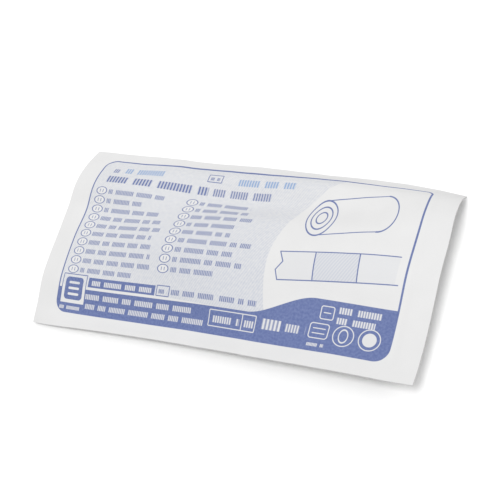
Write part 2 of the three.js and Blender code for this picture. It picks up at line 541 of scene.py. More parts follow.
@dataclass(frozen=True)
class Signal:
    """One value in a node tree, which ordinary arithmetic extends with math nodes."""

    tree: bpy.types.NodeTree
    socket: bpy.types.NodeSocket

    def math(self, operation: str, *others: "Signal | Number") -> "Signal":
        """Add a math node that takes this value first.

        Args:
            operation: The node's operation.
            *others: What goes into its other inputs.

        Returns:
            The node's result.
        """
        node = self.tree.nodes.new("ShaderNodeMath")
        node.operation = operation
        for slot, value in zip(node.inputs, (self, *others)):
            plug(slot, value)
        return Signal(self.tree, node.outputs[0])

    def __add__(self, other: "Signal | Number") -> "Signal":
        """Add."""
        return self.math("ADD", other)

    def __sub__(self, other: "Signal | Number") -> "Signal":
        """Subtract."""
        return self.math("SUBTRACT", other)

    def __mul__(self, other: "Signal | Number") -> "Signal":
        """Multiply."""
        return self.math("MULTIPLY", other)

    def __truediv__(self, other: "Signal | Number") -> "Signal":
        """Divide."""
        return self.math("DIVIDE", other)

    def __neg__(self) -> "Signal":
        """Change the sign."""
        return self.math("MULTIPLY", -1)

    def __abs__(self) -> "Signal":
        """Drop the sign."""
        return self.math("ABSOLUTE")

    def least(self, other: "Signal | Number") -> "Signal":
        """Take the lesser of two values."""
        return self.math("MINIMUM", other)

    def most(self, other: "Signal | Number") -> "Signal":
        """Take the greater of two values."""
        return self.math("MAXIMUM", other)

    def floor(self) -> "Signal":
        """Round down."""
        return self.math("FLOOR")

    def part(self) -> "Signal":
        """Keep the part after the point."""
        return self.math("FRACT")

    def above(self, limit: Number) -> "Signal":
        """Give 1 above a limit and 0 below it."""
        return self.math("GREATER_THAN", limit)

    def below(self, limit: Number) -> "Signal":
        """Give 1 below a limit and 0 above it."""
        return self.math("LESS_THAN", limit)

    def near(self, middle: Number, reach: Number) -> "Signal":
        """Give 1 within reach of a middle and 0 beyond it."""
        return self.math("COMPARE", middle, reach)

    def root_sum(self, other: "Signal") -> "Signal":
        """Give the length of a step of two values at right angles."""
        return (self * self + other * other).math("SQRT")

    def outside(self) -> "Signal":
        """Turn a mask round."""
        return -self + 1

    def inside(self, soft: Number = 0.07) -> "Signal":
        """Turn a distance into a mask: 1 where it is below 0, with an edge twice as wide as soft."""
        return self.math("MULTIPLY_ADD", -0.5 / soft, 0.5).most(0).least(1)

    def eased(self, start: Number, end: Number) -> "Signal":
        """Turn a value into a smooth rise from 0 to 1.

        Args:
            start: Where the rise begins.
            end: Where it ends.

        Returns:
            The rise.
        """
        node = self.tree.nodes.new("ShaderNodeMapRange")
        node.interpolation_type = "SMOOTHSTEP"
        for name, value in (("Value", self), ("From Min", start), ("From Max", end)):
            plug(node.inputs[name], value)
        return Signal(self.tree, node.outputs["Result"])

    def chance(self, seed: "Signal | Number", step: float = 7.31, start: float = 0.17) -> "Signal":
        """Draw a number that is fixed for this value's whole part and a seed.

        Args:
            seed: The seed.
            step: How far apart two whole parts are in the noise.
            start: Where the whole part 0 is in it.

        Returns:
            A number from 0 to 1.
        """
        node = self.tree.nodes.new("ShaderNodeTexWhiteNoise")
        node.noise_dimensions = "2D"
        plug(node.inputs["Vector"], joined(self.floor() * step + start, seed))
        return Signal(self.tree, node.outputs["Value"])


def plug(slot: bpy.types.NodeSocket, value: Signal | Number | tuple[float, ...]) -> None:
    """Feed a socket with a signal or set its own value.

    Args:
        slot: The socket.
        value: What it gets.
    """
    if isinstance(value, Signal):
        value.tree.links.new(value.socket, slot)
    else:
        slot.default_value = value


def joined(x: Signal, y: Signal | Number) -> Signal:
    """Join two values into a vector.

    Args:
        x: The first value.
        y: The second value.

    Returns:
        The vector.
    """
    node = x.tree.nodes.new("ShaderNodeCombineXYZ")
    for slot, value in zip(node.inputs, (x, y)):
        plug(slot, value)
    return Signal(x.tree, node.outputs[0])


def noise(x: Signal, y: Signal, scale: Number, detail: Number) -> Signal:
    """Read smooth noise at a place.

    Args:
        x: Distance along.
        y: Distance across.
        scale: How many clouds there are in a unit of length.
        detail: How many finer layers are added.

    Returns:
        A value from 0 to 1.
    """
    node = x.tree.nodes.new("ShaderNodeTexNoise")
    for name, value in (("Vector", joined(x, y)), ("Scale", scale), ("Detail", detail)):
        plug(node.inputs[name], value)
    return Signal(x.tree, node.outputs["Fac"])


def merged(masks: Iterable[Signal]) -> Signal:
    """Lay masks over each other."""
    return reduce(Signal.most, masks)


class Spot(NamedTuple):
    """The place that is being coloured, by its flat lengths along and across."""

    s: Signal
    t: Signal

    def past(self, s: Signal | Number, t: Signal | Number) -> tuple[Signal, Signal]:
        """Measure the place from a point."""
        return self.s - s, self.t - t


class Area(NamedTuple):
    """A rectangle of a sheet, by its middle and its half sizes, and the values that hold inside it."""

    s: float
    t: float
    half_s: float
    half_t: float
    values: tuple[Signal | Number, ...]


def picked(at: Spot, areas: Sequence[Area]) -> list[Signal]:
    """Give the values of the area that a place is in.

    Args:
        at: The place.
        areas: Areas that don't overlap.

    Returns:
        One signal for each value, 0 outside every area.
    """
    totals: list[Signal | Number] = [0.0] * len(areas[0].values)
    for area in areas:
        here = at.s.near(area.s, area.half_s) * at.t.near(area.t, area.half_t)
        totals = [here.math("MULTIPLY_ADD", value, total) for value, total in zip(area.values, totals)]
    return totals


# Shapes that are drawn with shared node groups

GROUPS: dict[str, bpy.types.NodeTree] = {}


class Stencil(NamedTuple):
    """A shape with one node group: the group's name, its float inputs and outputs, and what draws it."""

    name: str
    inputs: tuple[str, ...]
    outputs: tuple[str, ...]
    draw: Callable[..., Sequence[Signal]]

    def group(self) -> bpy.types.NodeTree:
        """Give the node group, built the first time it is asked for.

        Returns:
            The group's tree.
        """
        if self.name not in GROUPS:
            tree = bpy.data.node_groups.new(self.name, "ShaderNodeTree")
            for way, names in (("INPUT", self.inputs), ("OUTPUT", self.outputs)):
                for name in names:
                    tree.interface.new_socket(name, in_out=way, socket_type="NodeSocketFloat")
            source, sink = tree.nodes.new("NodeGroupInput"), tree.nodes.new("NodeGroupOutput")
            signals = self.draw(*(Signal(tree, source.outputs[name]) for name in self.inputs))
            for name, signal in zip(self.outputs, signals):
                plug(sink.inputs[name], signal)
            GROUPS[self.name] = tree
        return GROUPS[self.name]

    def place(self, first: Signal, *others: Signal | Number) -> list[Signal]:
        """Put the group into the tree of its first input's signal.

        Args:
            first: What goes into the first input.
            *others: What goes into the other inputs, in order.

        Returns:
            The signals that the group gives, in order.
        """
        node = first.tree.nodes.new("ShaderNodeGroup")
        node.node_tree = self.group()
        for slot, value in zip(node.inputs, (first, *others)):
            plug(slot, value)
        return [Signal(first.tree, output) for output in node.outputs]


RUN_LINES = 11
GAP_LEAST = 2
GAP_SPREAD = 7
GAP_SEED = 3.7
DASH_HEIGHT = 0.74
DASH_GROUND = 0.25


def draw_row(along: Signal, across: Signal, length: Signal, size: Signal, line: Signal,
             seed: Signal) -> Sequence[Signal]:
    """Draw a row of dashes, each one ruled with fine upright lines, with one gap in every run of lines.

    Args:
        along: Distance from the row's start.
        across: Distance above its base line.
        length: Its length.
        size: Its height.
        line: Width of a ruled line.
        seed: Seed of the gaps' places.

    Returns:
        The row's mask.
    """
    step = size * 0.2 + line * 0.65
    cell = along / step
    run = cell / RUN_LINES
    gap_at = (run.chance(seed + GAP_SEED) * GAP_SPREAD + GAP_LEAST).floor()
    gap = (cell.floor() - run.floor() * RUN_LINES - gap_at).near(0.5, 0.7)
    rule = abs(cell.part() - 0.5) * step - line * 0.5
    row = (across - size * DASH_HEIGHT).most(-across)
    ends = (-along).most(along - length).inside() * gap.outside()
    return [(rule.inside() * (1 - DASH_GROUND) + DASH_GROUND) * row.inside() * ends]


def draw_oval(x: Signal, y: Signal, radius_x: Signal, radius_y: Signal, line: Signal) -> Sequence[Signal]:
    """Draw an oval round the origin.

    Args:
        x: Distance along from its middle.
        y: Distance across from its middle.
        radius_x: Its radius along.
        radius_y: Its radius across.
        line: Width of its line.

    Returns:
        Its fill and its outline.
    """
    distance = ((x / radius_x).root_sum(y / radius_y) - 1) * radius_x.least(radius_y)
    return [distance.inside(), (abs(distance) - line * 0.5).inside()]


def draw_box(x: Signal, y: Signal, half_x: Signal, half_y: Signal, corner: Signal,
             line: Signal) -> Sequence[Signal]:
    """Draw a box with round corners round the origin.

    Args:
        x: Distance along from its middle.
        y: Distance across from its middle.
        half_x: Half its length.
        half_y: Half its width.
        corner: Radius of its corners.
        line: Width of its line.

    Returns:
        Its fill and its outline.
    """
    over_x = abs(x) - half_x + corner
    over_y = abs(y) - half_y + corner
    outside = over_x.most(0).root_sum(over_y.most(0))
    distance = outside + over_x.most(over_y).least(0) - corner
    return [distance.inside(), (abs(distance) - line * 0.5).inside()]


def draw_stroke(x: Signal, y: Signal, run_x: Signal, run_y: Signal, line: Signal) -> Sequence[Signal]:
    """Draw a straight stroke with round ends from the origin.

    Args:
        x: Distance along from its start.
        y: Distance across from its start.
        run_x: How far it runs along.
        run_y: How far it runs across.
        line: Its width.

    Returns:
        Its mask.
    """
    reach = (x * run_x + y * run_y) / (run_x * run_x + run_y * run_y)
    reach = reach.most(0).least(1)
    return [((x - reach * run_x).root_sum(y - reach * run_y) - line * 0.5).inside()]


HATCH_SLANT = (0.88, 0.47)
HATCH_SOFT = 0.35


def draw_hatch(x: Signal, y: Signal, pitch: Signal, cover: Signal) -> Sequence[Signal]:
    """Draw fine slanted screen lines with soft sides.

    Args:
        x: Distance along.
        y: Distance across.
        pitch: Distance from line to line.
        cover: Share of the ground that the lines take.

    Returns:
        Their mask.
    """
    wave = ((x * HATCH_SLANT[0] - y * HATCH_SLANT[1]) / pitch).part() - 0.5
    return [(abs(wave) * 2 - cover).inside(HATCH_SOFT)]


FIBRE_STRETCH = 0.45


def draw_fibres(x: Signal, y: Signal) -> Sequence[Signal]:
    """Mix fine stretched fibres with broad clouds.

    Args:
        x: Distance along.
        y: Distance across.

    Returns:
        The relief's height and the tone.
    """
    fine = noise(x * FIBRE_STRETCH, y, scale=2.6, detail=3)
    clouds = noise(x, y, scale=0.11, detail=2)
    return [fine * 0.75 + clouds * 0.25, clouds * 0.6 + fine * 0.4]


def draw_weave(x: Signal, y: Signal, pitch: Signal) -> Sequence[Signal]:
    """Cross warp and weft threads that pass over and under by turns.

    Args:
        x: Distance along.
        y: Distance across.
        pitch: Distance from thread to thread.

    Returns:
        The threads' height and where they cover the ground.
    """
    along, across = x / pitch, y / pitch
    warp, weft = (abs(cell.part() - 0.5) * -2 + 1 for cell in (along, across))
    turn = (along.floor() + across.floor()).math("PINGPONG", 1)
    over = warp * turn + weft * turn.outside()
    return [over.most(warp.least(weft)), warp.most(weft)]


RULED_ROW = Stencil("ruled_row", ("Along", "Across", "Length", "Size", "Line", "Seed"), ("Mask",), draw_row)
OVAL = Stencil("oval", ("X", "Y", "Radius X", "Radius Y", "Line"), ("Fill", "Outline"), draw_oval)
BOX = Stencil("box", ("X", "Y", "Half X", "Half Y", "Corner", "Line"), ("Fill", "Outline"), draw_box)
STROKE = Stencil("stroke", ("X", "Y", "Run X", "Run Y", "Line"), ("Mask",), draw_stroke)
HATCH = Stencil("hatch", ("X", "Y", "Pitch", "Cover"), ("Mask",), draw_hatch)
FIBRES = Stencil("fibres", ("X", "Y"), ("Height", "Tone"), draw_fibres)
WEAVE = Stencil("weave", ("X", "Y", "Pitch"), ("Height", "Cover"), draw_weave)


# Finishes


@dataclass
class Tree:
    """A new material's tree with its main shader."""

    name: str
    material: bpy.types.Material = field(init=False)
    nodes: bpy.types.Nodes = field(init=False)
    shader: bpy.types.Node = field(init=False)

    def __post_init__(self) -> None:
        """Make the material."""
        self.material = bpy.data.materials.new(self.name)
        self.material.use_nodes = True
        self.nodes = self.material.node_tree.nodes
        self.shader = self.nodes["Principled BSDF"]

    @property
    def tree(self) -> bpy.types.NodeTree:
        """The node tree."""
        return self.material.node_tree

    def flat_place(self) -> Spot:
        """Read the map of flat millimetres.

        Returns:
            The place that is being coloured.
        """
        flat_map = self.nodes.new("ShaderNodeUVMap")
        flat_map.uv_map = PRINT_UV
        split = self.nodes.new("ShaderNodeSeparateXYZ")
        self.tree.links.new(flat_map.outputs[0], split.inputs[0])
        return Spot(Signal(self.tree, split.outputs[0]), Signal(self.tree, split.outputs[1]))

    def mix(self, mask: Signal, base: Signal | Colour, over: Signal | Colour) -> Signal:
        """Lay one colour over another by a mask.

        Args:
            mask: Where the upper colour shows.
            base: The lower colour.
            over: The upper colour.

        Returns:
            The mixed colour.
        """
        node = self.nodes.new("ShaderNodeMix")
        node.data_type = "RGBA"
        factor, under, top = node.inputs[0], node.inputs[6], node.inputs[7]
        plug(factor, mask)
        for slot, colour in ((under, base), (top, over)):
            plug(slot, colour if isinstance(colour, Signal) else (*colour, 1))
        return Signal(self.tree, node.outputs[2])

    def coat(self, colour: Signal, roughness: float, specular: float) -> None:
        """Set the shader's colour, its roughness and the strength of its reflections.

        Args:
            colour: The colour.
            roughness: The roughness.
            specular: The strength of the reflections.
        """
        plug(self.shader.inputs["Base Color"], colour)
        plug(self.shader.inputs["Roughness"], roughness)
        plug(self.shader.inputs["Specular IOR Level"], specular)

    def bump(self, height: Signal, depth: float) -> None:
        """Feed the shader's normal with a relief.

        Args:
            height: The relief, about 0 to 1.
            depth: The relief's depth in millimetres.
        """
        node = self.nodes.new("ShaderNodeBump")
        for name, value in (("Strength", 1), ("Distance", depth * MM), ("Height", height)):
            plug(node.inputs[name], value)
        self.tree.links.new(node.outputs[0], self.shader.inputs["Normal"])


@dataclass(frozen=True)
class Fibrous:
    """A plain white finish of matted fibres."""

    name: str
    light: Colour
    shade: Colour
    roughness: float
    specular: float
    depth: float

    def material(self) -> bpy.types.Material:
        """Make the material.

        Returns:
            The material.
        """
        out = Tree(self.name)
        height, tone = FIBRES.place(*out.flat_place())
        out.coat(out.mix(tone, self.shade, self.light), self.roughness, self.specular)
        out.bump(height, self.depth)
        return out.material


PLAIN_PAPER = Fibrous(name="plain_paper", light=(0.67, 0.67, 0.663), shade=(0.63, 0.63, 0.622),
                      roughness=0.62, specular=0.3, depth=0.02)
COMPRESS = Fibrous(name="compress", light=(0.86, 0.85, 0.82), shade=(0.78, 0.77, 0.74),
                   roughness=1.0, specular=0.1, depth=0.25)


@dataclass(frozen=True)
class Gauze:
    """Natural white woven bandage."""

    name: str = "gauze"
    thread: Colour = (0.8, 0.76, 0.68)
    between: Colour = (0.55, 0.51, 0.44)
    roughness: float = 0.95
    specular: float = 0.15
    pitch: float = 0.7
    depth: float = 0.12
    cover: tuple[float, float] = (0.2, 0.8)

    def material(self) -> bpy.types.Material:
        """Make the material.

        Returns:
            The material.
        """
        out = Tree(self.name)
        height, cover = WEAVE.place(*out.flat_place(), self.pitch)
        out.coat(out.mix(cover.eased(*self.cover), self.between, self.thread), self.roughness, self.specular)
        out.bump(height, self.depth)
        return out.material


# The print


class Ink(Enum):
    """What a printed row, line or box is made of."""

    BLUE = 1
    STAMP = 2
    BARE = 3

    @classmethod
    def masks(cls, code: Signal) -> dict["Ink", Signal]:
        """Tell the inks apart by their numbers."""
        return {ink: code.near(ink.value, 0.5) for ink in cls}


class Row(NamedTuple):
    """A printed row of ruled dashes: its start, its length, its height and its line width."""

    s: float
    t: float
    length: float
    size: float
    line: float
    ink: Ink

    def area(self) -> Area:
        """Give the row's area, with what draws it.

        Returns:
            The area.
        """
        half_s = self.length / 2
        seed = self.s * 1.7 + self.t
        values = (self.s, self.t, self.length, self.size, self.line, seed, self.ink.value)
        middle_t, half_t = self.t + self.size * 0.4, self.size * 0.75
        return Area(self.s + half_s, middle_t, half_s + ROW_ROOM, half_t, values)


class Box(NamedTuple):
    """A printed box with round corners, by its middle and its half sizes."""

    s: float
    t: float
    half_s: float
    half_t: float
    corner: float | Signal
    ink: Ink = Ink.BLUE

    def area(self) -> Area:
        """Give the box's area, with what draws it."""
        half_s, half_t = self.half_s + BOX_ROOM, self.half_t + BOX_ROOM
        return Area(self.s, self.t, half_s, half_t, (*self[:5], self.ink.value))

    def drawn(self, at: Spot, line: Signal | Number) -> list[Signal]:
        """Print its fill and its outline."""
        return BOX.place(*at.past(self.s, self.t), self.half_s, self.half_t, self.corner, line)


class Oval(NamedTuple):
    """A printed oval, by its middle and its two radii."""

    s: float
    t: float
    radius_s: float
    radius_t: float

    def drawn(self, at: Spot, line: float) -> list[Signal]:
        """Print its fill and its outline."""
        return OVAL.place(*at.past(self.s, self.t), self.radius_s, self.radius_t, line)


class Stroke(NamedTuple):
    """A printed straight stroke between two points."""

    s: float
    t: float
    to_s: float
    to_t: float

    def drawn(self, at: Spot, line: float) -> Signal:
        """Print it."""
        return STROKE.place(*at.past(self.s, self.t), self.to_s - self.s, self.to_t - self.t, line)[0]


class Column(NamedTuple):
    """A list of rows, each behind an oval bullet: their places along, their number and their lengths."""

    bullet_s: float
    row_s: float
    count: int
    least: float
    spread: float


@dataclass(frozen=True)
class PrintedPaper:
    """Coated white paper printed in two blues, laid out in flat millimetres."""

    name: str = "printed_paper"
    light: Colour = (0.716, 0.7148, 0.7145)
    shade: Colour = (0.662, 0.6608, 0.6605)
    ink: Colour = (0.108, 0.145, 0.322)
    ink_worn: Colour = (0.163, 0.206, 0.392)
    tint: Colour = (0.518, 0.541, 0.6)
    stamp: Colour = (0.18, 0.31, 0.55)
    stamp_cover: float = 0.85
    bare_cover: float = 0.94
    roughness: float = 0.6
    specular: float = 0.25
    fibre_depth: float = 0.012
    line: float = 0.62
    right_line: float = 0.1
    right_run: float = 6
    far_line: float = 0.4
    far_run: tuple[float, float] = (22, 58)
    thin_line: float = 0.36
    fine_line: float = 0.3
    drawn_line: float = 0.42
    sheet: tuple[float, float] = (165, 85)
    margin_left: float = 9.7
    margin_right: float = 10.9
    margin_near: float = 6.7
    margin_far: float = 5.5
    corner: float = 5
    tight_corner: float = 2.6
    band_low: float = 16.8
    band_high: float = 25.4
    swell: tuple[float, float] = (99, 125)
    field_middle: tuple[float, float] = (163, 36)
    field_radius: float = 60
    clear_strip: float = 1.1
    clear_run: tuple[float, float] = (55, 95)
    screen_share: float = 0.42
    grain_share: float = 0.33
    # Painted shade: how much darker the tinted field is made below the title, and where that darkening rises along
    # and across.
    painted_shade: float = 0.22
    painted_shade_along: tuple[float, float] = (10, 80)
    painted_shade_across: tuple[float, float] = (-70, -22)
    hatch_pitch: float = 0.95
    hatch_cover: float = 0.5
    row_pitch: float = 4.1
    row_top: float = 61.6
    row_size: float = 2.7
    row_sink: float = 0.42
    row_seed: float = 5.3
    row_room: float = 36
    bullet: tuple[float, float] = (2.5, 1.65)
    bullet_tick: float = 0.7
    columns: tuple[Column, Column] = (
        Column(bullet_s=14.9, row_s=18.5, count=10, least=17, spread=18),
        Column(bullet_s=59.0, row_s=62.6, count=9, least=18, spread=16),
    )
    rows: tuple[Row, ...] = (
        Row(s=15.0, t=66.0, length=49, size=5.0, line=0.72, ink=Ink.BLUE),
        Row(s=66.2, t=66.2, length=26.6, size=4.4, line=0.42, ink=Ink.BLUE),
        Row(s=64.8, t=18.9, length=19.6, size=2.8, line=0.36, ink=Ink.BLUE),
        Row(s=87.0, t=18.9, length=15.4, size=2.8, line=0.36, ink=Ink.BLUE),
        Row(s=63.4, t=73.1, length=4.4, size=2.0, line=0.3, ink=Ink.BLUE),
        Row(s=58.9, t=19.0, length=4.2, size=2.2, line=0.36, ink=Ink.BLUE),
        Row(s=15.6, t=72.0, length=3.0, size=3.4, line=0.36, ink=Ink.BLUE),
        Row(s=21.4, t=72.4, length=19.2, size=4.2, line=0.55, ink=Ink.STAMP),
        Row(s=76.6, t=71.9, length=25.4, size=4.2, line=0.55, ink=Ink.STAMP),
        Row(s=26.0, t=18.7, length=29.6, size=2.7, line=0.5, ink=Ink.BARE),
        Row(s=23.6, t=12.9, length=52, size=2.9, line=0.46, ink=Ink.BARE),
        Row(s=24.2, t=9.0, length=57.2, size=2.8, line=0.38, ink=Ink.BARE),
        Row(s=11.4, t=7.8, length=11.2, size=1.9, line=0.34, ink=Ink.BARE),
        Row(s=85.4, t=11.0, length=11.4, size=3.4, line=0.5, ink=Ink.BARE),
        Row(s=98.8, t=11.0, length=4.0, size=3.4, line=0.5, ink=Ink.BARE),
        Row(s=106.0, t=11.4, length=7.6, size=5.2, line=0.8, ink=Ink.BARE),
        Row(s=115.4, t=11.8, length=7.8, size=3.9, line=0.46, ink=Ink.BARE),
        Row(s=124.8, t=8.2, length=6.4, size=1.6, line=0.3, ink=Ink.BARE),
        Row(s=133.6, t=21.2, length=16.2, size=3.1, line=0.52, ink=Ink.BARE),
        Row(s=133.4, t=17.5, length=14.0, size=3.1, line=0.52, ink=Ink.BARE),
    )
    boxes: tuple[Box, ...] = (
        Box(s=60.9, t=20.1, half_s=3.0, half_t=2.0, corner=0.2),
        Box(s=65.6, t=74.1, half_s=3.3, half_t=1.8, corner=0.2),
        Box(s=93.6, t=12.6, half_s=9.8, half_t=3.0, corner=0.3, ink=Ink.BARE),
        Box(s=128.0, t=14.0, half_s=3.5, half_t=2.7, corner=1.0, ink=Ink.BARE),
        Box(s=129.6, t=20.8, half_s=2.4, half_t=2.3, corner=0.7, ink=Ink.BARE),
    )
    solid_bar: Box = Box(s=40.7, t=19.9, half_s=16.4, half_t=2.0, corner=0.1)
    panel: Box = Box(s=17.3, t=16.4, half_s=6.0, half_t=6.1, corner=0.1)
    panel_block: Box = Box(s=17.3, t=16.6, half_s=4.5, half_t=4.7, corner=1.6)
    panel_bars: tuple[Box, ...] = (
        Box(s=17.3, t=19.0, half_s=2.7, half_t=0.5, corner=0.5),
        Box(s=17.3, t=16.6, half_s=2.7, half_t=0.5, corner=0.5),
        Box(s=17.3, t=14.2, half_s=2.7, half_t=0.5, corner=0.5),
    )
    white_strokes: tuple[Stroke, ...] = (
        Stroke(s=97.9, t=9.6, to_s=97.9, to_t=15.6),
        Stroke(s=125.8, t=14.9, to_s=130.2, to_t=14.9),
        Stroke(s=125.8, t=13.1, to_s=130.2, to_t=13.1),
        Stroke(s=128.4, t=20.8, to_s=130.8, to_t=20.8),
    )
    white_rings: tuple[Oval, ...] = (
        Oval(s=137.2, t=13.4, radius_s=3.7, radius_t=3.7),
        Oval(s=137.2, t=13.4, radius_s=1.6, radius_t=2.4),
        Oval(s=146.6, t=13.6, radius_s=3.8, radius_t=3.8),
    )
    white_dots: tuple[Oval, ...] = (Oval(s=146.6, t=13.6, radius_s=2.5, radius_t=2.5),)
    roll_end: Oval = Oval(s=117.5, t=58.5, radius_s=5.4, radius_t=9.4)
    roll_turns: tuple[float, ...] = (1.0, 0.68, 0.36)
    roll_run: tuple[float, float] = (22.0, 4.6)
    strip_edges: tuple[Stroke, Stroke] = (
        Stroke(s=107.5, t=40.6, to_s=151.0, to_t=45.0),
        Stroke(s=108.5, t=29.8, to_s=152.0, to_t=34.2),
    )
    strip_end: tuple[Stroke, ...] = (
        Stroke(s=107.5, t=40.6, to_s=109.4, to_t=36.8),
        Stroke(s=109.4, t=36.8, to_s=107.2, to_t=33.4),
        Stroke(s=107.2, t=33.4, to_s=108.5, to_t=29.8),
    )
    strip_tint: float = 0.2
    pad_edges: tuple[Stroke, Stroke] = (
        Stroke(s=121.0, t=41.9, to_s=121.8, to_t=31.1),
        Stroke(s=137.0, t=43.6, to_s=137.8, to_t=32.8),
    )
    pad_lean: float = 0.4
    pad_tint: float = 0.22
    pad_lines: float = 0.5

    def material(self) -> bpy.types.Material:
        """Make the material: paper, tinted field, ink, stamps and knocked-out white, in that order.

        Returns:
            The material.
        """
        out = Tree(self.name)
        at = out.flat_place()
        height, tone = FIBRES.place(*at)
        paper = out.mix(tone, self.shade, self.light)
        ink = out.mix(noise(*at, scale=1.1, detail=4).eased(0.25, 0.8), self.ink, self.ink_worn)
        frame_fill, frame_line = self.border(at)
        bullets_fill, bullets_line, rows, inks = self.ruled(at)
        outlines, box_inks = self.outlined(at)
        screen = self.tinted(at) * frame_fill * bullets_fill.outside()
        screen = screen.most(self.strip_screen(at))
        solid = self.panelled(self.band(at) * frame_fill, at)
        solid = solid.most(frame_line).most(bullets_line).most(self.drawing(at))
        solid = solid.most(rows * inks[Ink.BLUE]).most(outlines * box_inks[Ink.BLUE])
        bare = self.knocked_out(at).most(rows * inks[Ink.BARE]).most(outlines * box_inks[Ink.BARE])
        colour = out.mix(screen, paper, self.tint)
        colour = out.mix(rows * inks[Ink.STAMP] * self.stamp_cover, colour, self.stamp)
        colour = out.mix(solid, colour, ink)
        colour = out.mix(bare * self.bare_cover, colour, paper)
        out.coat(colour, self.roughness, self.specular)
        out.bump(height, self.fibre_depth)
        return out.material

    def border(self, at: Spot) -> list[Signal]:
        """Print the round-cornered frame, whose line is thicker to the right and far from the ends.

        Args:
            at: The place on the sheet.

        Returns:
            Its fill and its line.
        """
        length, width = self.sheet
        half_s = (length - self.margin_left - self.margin_right) / 2
        half_t = (width - self.margin_near - self.margin_far) / 2
        middle_s, middle_t = self.margin_left + half_s, self.margin_near + half_t
        upper_right = at.s.above(middle_s) * at.t.above(middle_t)
        corner = upper_right * (self.tight_corner - self.corner) + self.corner
        far = at.t.above(middle_t) * at.s.eased(*self.far_run) * (-at.s + length).eased(*self.far_run)
        right = (at.s - middle_s).eased(half_s - self.right_run, half_s)
        line = right * self.right_line + far * self.far_line + self.line
        return Box(middle_s, middle_t, half_s, half_t, corner).drawn(at, line)

    def band(self, at: Spot) -> Signal:
        """Give the solid band along the near edge, which swells towards the right."""
        rise = at.s.eased(*self.swell) * (self.band_high - self.band_low)
        return (at.t - self.band_low - rise).inside()

    def tinted(self, at: Spot) -> Signal:
        """Give the tinted field, screened and mottled, with painted shade below the title, up to its round right
        edge.

        Args:
            at: The place on the sheet.

        Returns:
            How strongly the ground is tinted.
        """
        from_s, from_t = at.past(*self.field_middle)
        field_mask = (-from_s.root_sum(from_t) + self.field_radius).inside() * from_s.below(0)
        clear = at.s.eased(*self.clear_run) * -self.clear_strip + self.clear_strip + self.band_low
        lines = self.screen_lines(at) * self.screen_share
        grain = noise(*at, scale=0.8, detail=3).eased(0.3, 0.7) * self.grain_share
        # Painted shade: the tint gets darker from the title down towards the band and from the left margin
        # rightwards, where the sheet dips.
        dip_shade = at.s.eased(*self.painted_shade_along) * (-at.t).eased(*self.painted_shade_across) * self.painted_shade
        return field_mask * (clear - at.t).inside() * (lines + grain + dip_shade)

    def screen_lines(self, at: Spot) -> Signal:
        """Print the fine slanted screen."""
        return HATCH.place(*at, self.hatch_pitch, self.hatch_cover)[0]

    def ruled(self, at: Spot) -> tuple[Signal, Signal, Signal, dict[Ink, Signal]]:
        """Print every row, the rows of the two lists with their bullets among them.

        Args:
            at: The place on the sheet.

        Returns:
            The bullets' fill, their lines, the rows, and for each ink where the rows have it.
        """
        down = (-at.t + self.row_top) / self.row_pitch + 0.5
        number = down.floor()
        in_row = (-down.part() + 0.5) * self.row_pitch
        half_room = self.row_room / 2
        areas = [row.area() for row in self.rows]
        bullet_areas: list[Area] = []
        for column in self.columns:
            half_t = column.count * self.row_pitch / 2
            middle_t = self.row_top + self.row_pitch / 2 - half_t
            seed = number * self.row_seed + column.row_s
            base = number * -self.row_pitch + (self.row_top - self.row_size * self.row_sink)
            length = number.chance(column.row_s) * column.spread + column.least
            values = (column.row_s, base, length, self.row_size, self.fine_line, seed, Ink.BLUE.value)
            areas.append(Area(column.row_s + half_room, middle_t, half_room + ROW_ROOM, half_t, values))
            half_s = self.bullet[0] + ROW_ROOM
            bullet_areas.append(Area(column.bullet_s, middle_t, half_s, half_t, (column.bullet_s, 1)))
        start, base, length, size, line, seed, ink = picked(at, areas)
        mask = RULED_ROW.place(*at.past(start, base), length, size, line, seed)[0]
        bullet_s, listed = picked(at, bullet_areas)
        off = at.s - bullet_s
        fill, outline = OVAL.place(off, in_row, *self.bullet, self.fine_line)
        ticks = (abs(abs(off) - self.bullet_tick) - self.fine_line / 2).most(abs(in_row) - self.bullet_tick)
        return fill * listed, outline.most(ticks.inside()) * listed, mask, Ink.masks(ink)

    def outlined(self, at: Spot) -> tuple[Signal, dict[Ink, Signal]]:
        """Print every outlined box.

        Args:
            at: The place on the sheet.

        Returns:
            The boxes' lines, and for each ink where they have it.
        """
        middle_s, middle_t, half_s, half_t, corner, ink = picked(at, [box.area() for box in self.boxes])
        outline = BOX.place(*at.past(middle_s, middle_t), half_s, half_t, corner, self.thin_line)[1]
        return outline, Ink.masks(ink)

    def panelled(self, solid: Signal, at: Spot) -> Signal:
        """Add the solid bar and the bare panel with its barred block to the solid ink.

        Args:
            solid: The solid ink so far.
            at: The place on the sheet.

        Returns:
            The solid ink with them.
        """
        bar_fill = self.solid_bar.drawn(at, self.thin_line)[0]
        panel_fill, panel_line = self.panel.drawn(at, self.thin_line)
        block = self.panel_block.drawn(at, self.thin_line)[0]
        for bar in self.panel_bars:
            block = block * bar.drawn(at, self.thin_line)[0].outside()
        return (solid.most(bar_fill) * panel_fill.outside()).most(panel_line).most(block)

    def knocked_out(self, at: Spot) -> Signal:
        """Give the strokes, rings and dots that are left bare on the band.

        Args:
            at: The place on the sheet.

        Returns:
            Their mask.
        """
        strokes = (stroke.drawn(at, self.thin_line) for stroke in self.white_strokes)
        rings = (ring.drawn(at, self.thin_line)[1] for ring in self.white_rings)
        dots = (dot.drawn(at, self.thin_line)[0] for dot in self.white_dots)
        return merged(chain(strokes, rings, dots))

